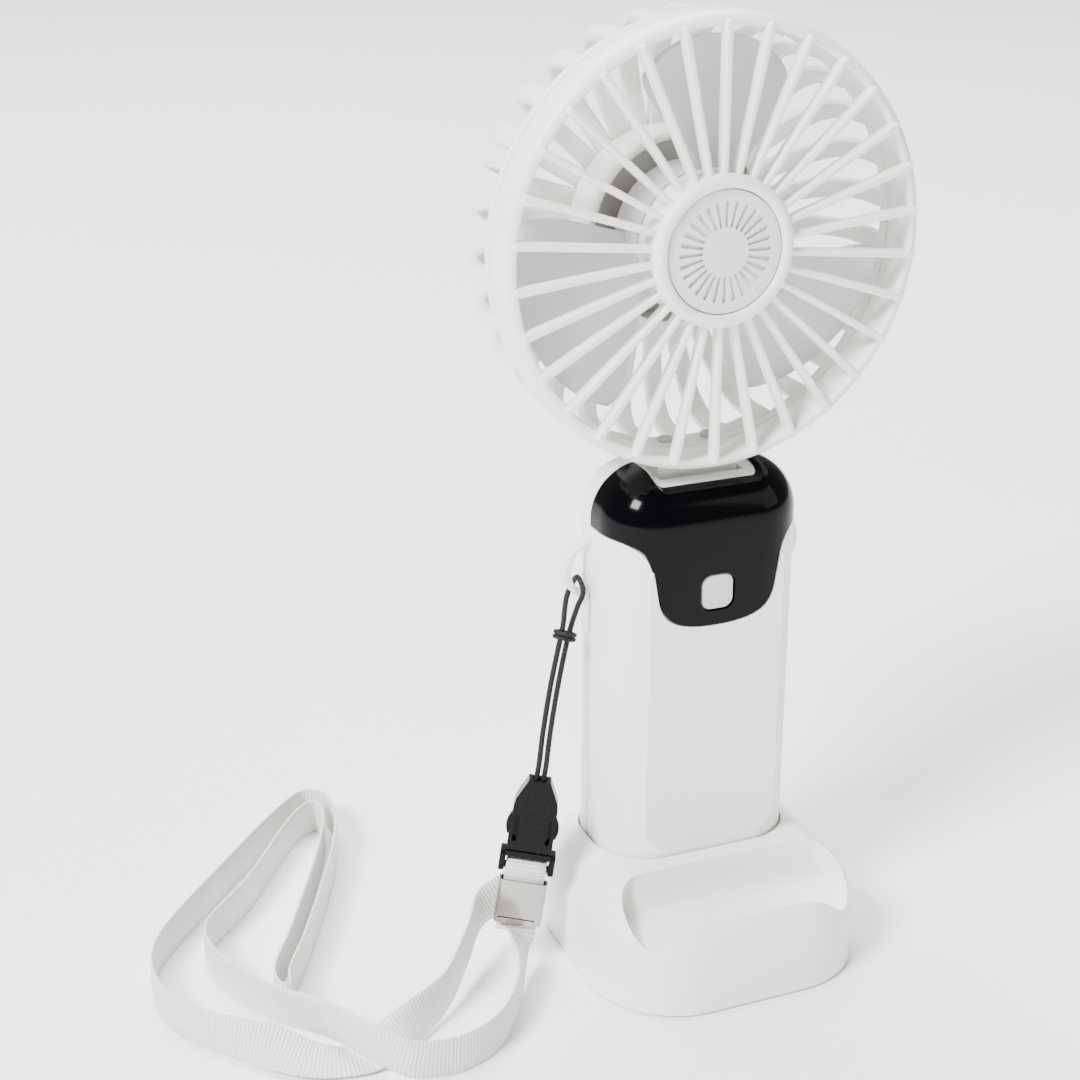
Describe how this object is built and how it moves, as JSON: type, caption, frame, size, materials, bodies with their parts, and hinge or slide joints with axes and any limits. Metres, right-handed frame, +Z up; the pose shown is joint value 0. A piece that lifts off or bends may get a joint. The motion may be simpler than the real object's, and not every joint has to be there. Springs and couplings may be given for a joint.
{
  "type": "handheld electric fan",
  "caption": "Upright handheld fan with a round ribbed grille on a tilting neck, a display handle, a domed charging dock with a phone trough, and a wrist strap on a buckle.",
  "frame": {"origin": "centre of the dock's footprint on the ground plane", "axes": "+Z up, -Y towards the front of the fan (the side with the display and button), +X to the viewer's right"},
  "size_m": [0.1813, 0.1229, 0.2225],
  "materials": {
    "white_plastic": "satin moulded ABS, warm white",
    "gloss_black": "polished piano black",
    "grey_plastic": "fine satin",
    "tinted_plastic": "translucent grey, satin",
    "black_plastic": "satin",
    "steel": "nickel plated, satin",
    "copper": "enamelled winding",
    "circuit_board": "solder mask",
    "cell_wrap": "shrink wrap",
    "rubber_feet": "matt",
    "ribbon": "ribbed grosgrain weave",
    "braid": "fine braid"
  },
  "bodies": {
    "dock": {"dock_shell": "white_plastic", "dock_bottom_plate": "white_plastic", "dock_foot_1": "rubber_feet", "dock_foot_2": "rubber_feet", "dock_foot_3": "rubber_feet", "dock_foot_4": "rubber_feet", "dock_screw_1": "steel", "dock_screw_2": "steel"},
    "handle": {"handle_front_shell": "white_plastic", "display_cover": "gloss_black", "handle_rear_shell": "white_plastic", "circuit_board": "circuit_board", "button_switch": "black_plastic", "display_module": "black_plastic", "battery_cell_left": "cell_wrap", "battery_cell_right": "cell_wrap", "usb_charging_port": "steel", "hinge_bracket": "steel", "hinge_pin": "steel", "friction_washer_left": "black_plastic", "friction_washer_right": "black_plastic", "hinge_bracket_screw_1": "steel", "hinge_bracket_screw_2": "steel", "handle_screw_1": "steel", "handle_screw_2": "steel", "handle_screw_3": "steel", "handle_screw_4": "steel", "lanyard_cord": "braid", "lanyard_knot": "braid", "buckle_socket": "black_plastic", "buckle_plug": "black_plastic", "strap_clamp": "steel", "ribbon_strap": "ribbon"},
    "head": {"neck": "white_plastic", "neck_screw_1": "steel", "neck_screw_2": "steel", "front_grille": "white_plastic", "hub_cap": "grey_plastic", "rear_grille": "white_plastic", "motor_mount": "white_plastic", "motor_mount_screw_1": "steel", "motor_mount_screw_2": "steel", "motor_mount_screw_3": "steel", "motor_front_bearing": "steel", "motor_rear_bearing": "steel", "motor_stator": "copper"},
    "rotor": {"impeller": "tinted_plastic", "motor_rotor": "black_plastic", "motor_shaft": "steel"},
    "button": {"power_button": "grey_plastic"}
  },
  "joints": [
    {"name": "handle_lift", "type": "slide", "parent": "dock", "child": "handle", "axis": [0, 0, 1], "range_m": [0, 0.02]},
    {"name": "head_tilt", "type": "hinge", "parent": "handle", "child": "head", "pos_m": [0, 0.0093, 0.1125], "axis": [1, 0, 0], "range_deg": [-25, 15]},
    {"name": "impeller_spin", "type": "hinge", "parent": "head", "child": "rotor", "pos_m": [0, 0.0093, 0.172], "axis": [0, 1, 0], "continuous": true},
    {"name": "button_press", "type": "slide", "parent": "handle", "child": "button", "axis": [0, 1, 0], "range_m": [0, 0.0005], "stiffness_N_per_m": 600, "springref_m": -0.001}
  ]
}
